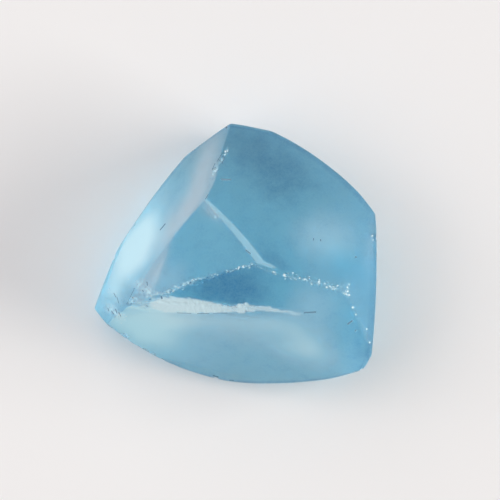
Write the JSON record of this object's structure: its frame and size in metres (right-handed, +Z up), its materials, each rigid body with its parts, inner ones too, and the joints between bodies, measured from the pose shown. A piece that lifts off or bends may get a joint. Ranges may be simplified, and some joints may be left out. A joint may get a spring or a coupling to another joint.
{
  "type": "rough-ground topaz preform",
  "caption": "Clear blue gemstone ground to a frosted, rounded three-sided preform with one corner cut off, lying on its flat underside with its low ridged crown up.",
  "frame": {"origin": "centre of the bounding box in plan, on the flat underside", "axes": "+X along the length, towards the end that is cut off square; +Y across the width; +Z up out of the crown"},
  "size_m": [0.0141, 0.013, 0.0071],
  "materials": {
    "topaz": "frosted: ground with coarse grit, with small bright chips along the crests"
  },
  "bodies": {
    "root": {"topaz": "topaz"}
  },
  "joints": []
}
